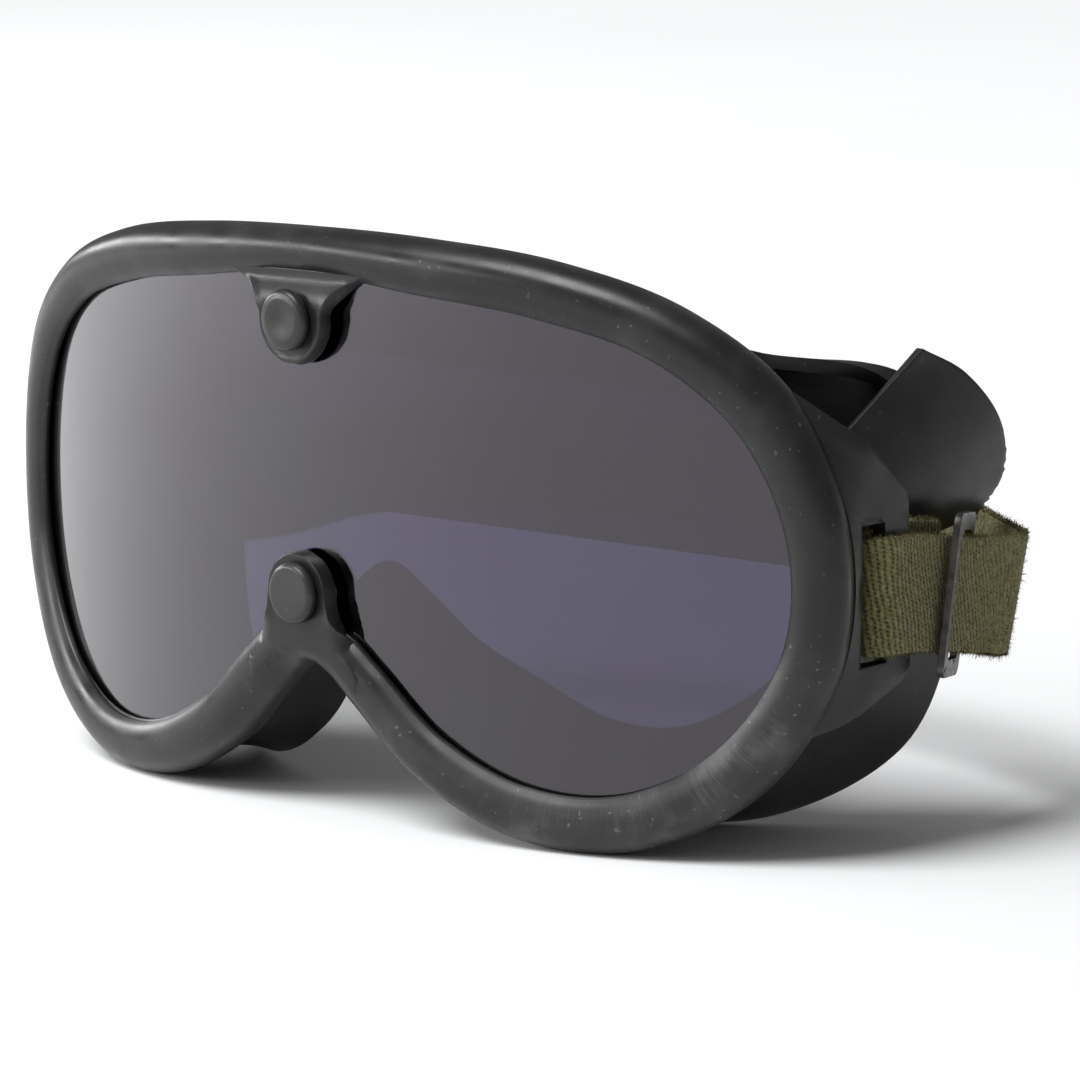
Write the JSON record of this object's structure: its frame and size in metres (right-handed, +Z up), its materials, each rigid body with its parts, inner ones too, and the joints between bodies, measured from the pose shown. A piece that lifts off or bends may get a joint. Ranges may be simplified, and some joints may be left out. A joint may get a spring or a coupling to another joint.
{
  "type": "goggles",
  "caption": "Black rubber dust goggles with a wide tinted lens held by round studs, curled temple flaps, and an olive elastic headband with metal slides.",
  "frame": {"origin": "on the surface that the goggles stand on, under the middle of their whole box", "axes": "+Z up, -Y the way the lens faces, +X the wearer's left"},
  "size_m": [0.1894, 0.0948, 0.0952],
  "materials": {
    "rubber": "satin moulded, dusty",
    "stud_rubber": "smooth satin",
    "tinted_lens": "polished, neutral smoke tint",
    "webbing": "knitted elastic with a raised nap",
    "slide_metal": "dark phosphate, semi-matt",
    "foam": "open foam"
  },
  "bodies": {
    "root": {"bezel": "rubber", "cup_wall": "rubber", "brow_flange": "rubber", "nose_flange": "rubber", "left_cheek_flange": "rubber", "right_cheek_flange": "rubber", "left_ear": "rubber", "right_ear": "rubber", "top_tab": "rubber", "nose_tab": "rubber", "top_rear_tab": "rubber", "nose_rear_tab": "rubber", "lens": "tinted_lens", "top_vent_foam": "foam"},
    "headband_body": {"left_strap_loop": "webbing", "right_strap_loop": "webbing", "headband": "webbing"},
    "left_slide_body": {"left_slide": "slide_metal"},
    "right_slide_body": {"right_slide": "slide_metal"},
    "top_stud_body": {"top_stud": "stud_rubber"},
    "nose_stud_body": {"nose_stud": "stud_rubber"},
    "left_flap_body": {"left_temple_flap": "rubber"},
    "right_flap_body": {"right_temple_flap": "rubber"}
  },
  "joints": [
    {"name": "headband_tilt", "type": "hinge", "parent": "root", "child": "headband_body", "pos_m": [0, -0.00485, 0.04094], "axis": [1, 0, 0], "range_deg": [-6, 6]},
    {"name": "left_slide_adjust", "type": "slide", "parent": "headband_body", "child": "left_slide_body", "axis": [-0.075, 0.9851, -0.155], "range_m": [-0.003, 0.008]},
    {"name": "right_slide_adjust", "type": "slide", "parent": "headband_body", "child": "right_slide_body", "axis": [0.075, 0.9851, -0.155], "range_m": [-0.003, 0.008]},
    {"name": "top_stud_pull", "type": "slide", "parent": "root", "child": "top_stud_body", "axis": [0, -1, 0], "range_m": [0, 0.009]},
    {"name": "nose_stud_pull", "type": "slide", "parent": "root", "child": "nose_stud_body", "axis": [0, -1, 0], "range_m": [0, 0.009]},
    {"name": "left_flap_flex", "type": "hinge", "parent": "root", "child": "left_flap_body", "pos_m": [0.0811, -0.00395, 0.05489], "axis": [0.1491, 0, -0.9888], "range_deg": [-8, 4], "stiffness_Nm_per_rad": 0.02},
    {"name": "right_flap_flex", "type": "hinge", "parent": "root", "child": "right_flap_body", "pos_m": [-0.0811, -0.00395, 0.05489], "axis": [0.1491, 0, 0.9888], "range_deg": [-8, 4], "stiffness_Nm_per_rad": 0.02}
  ]
}
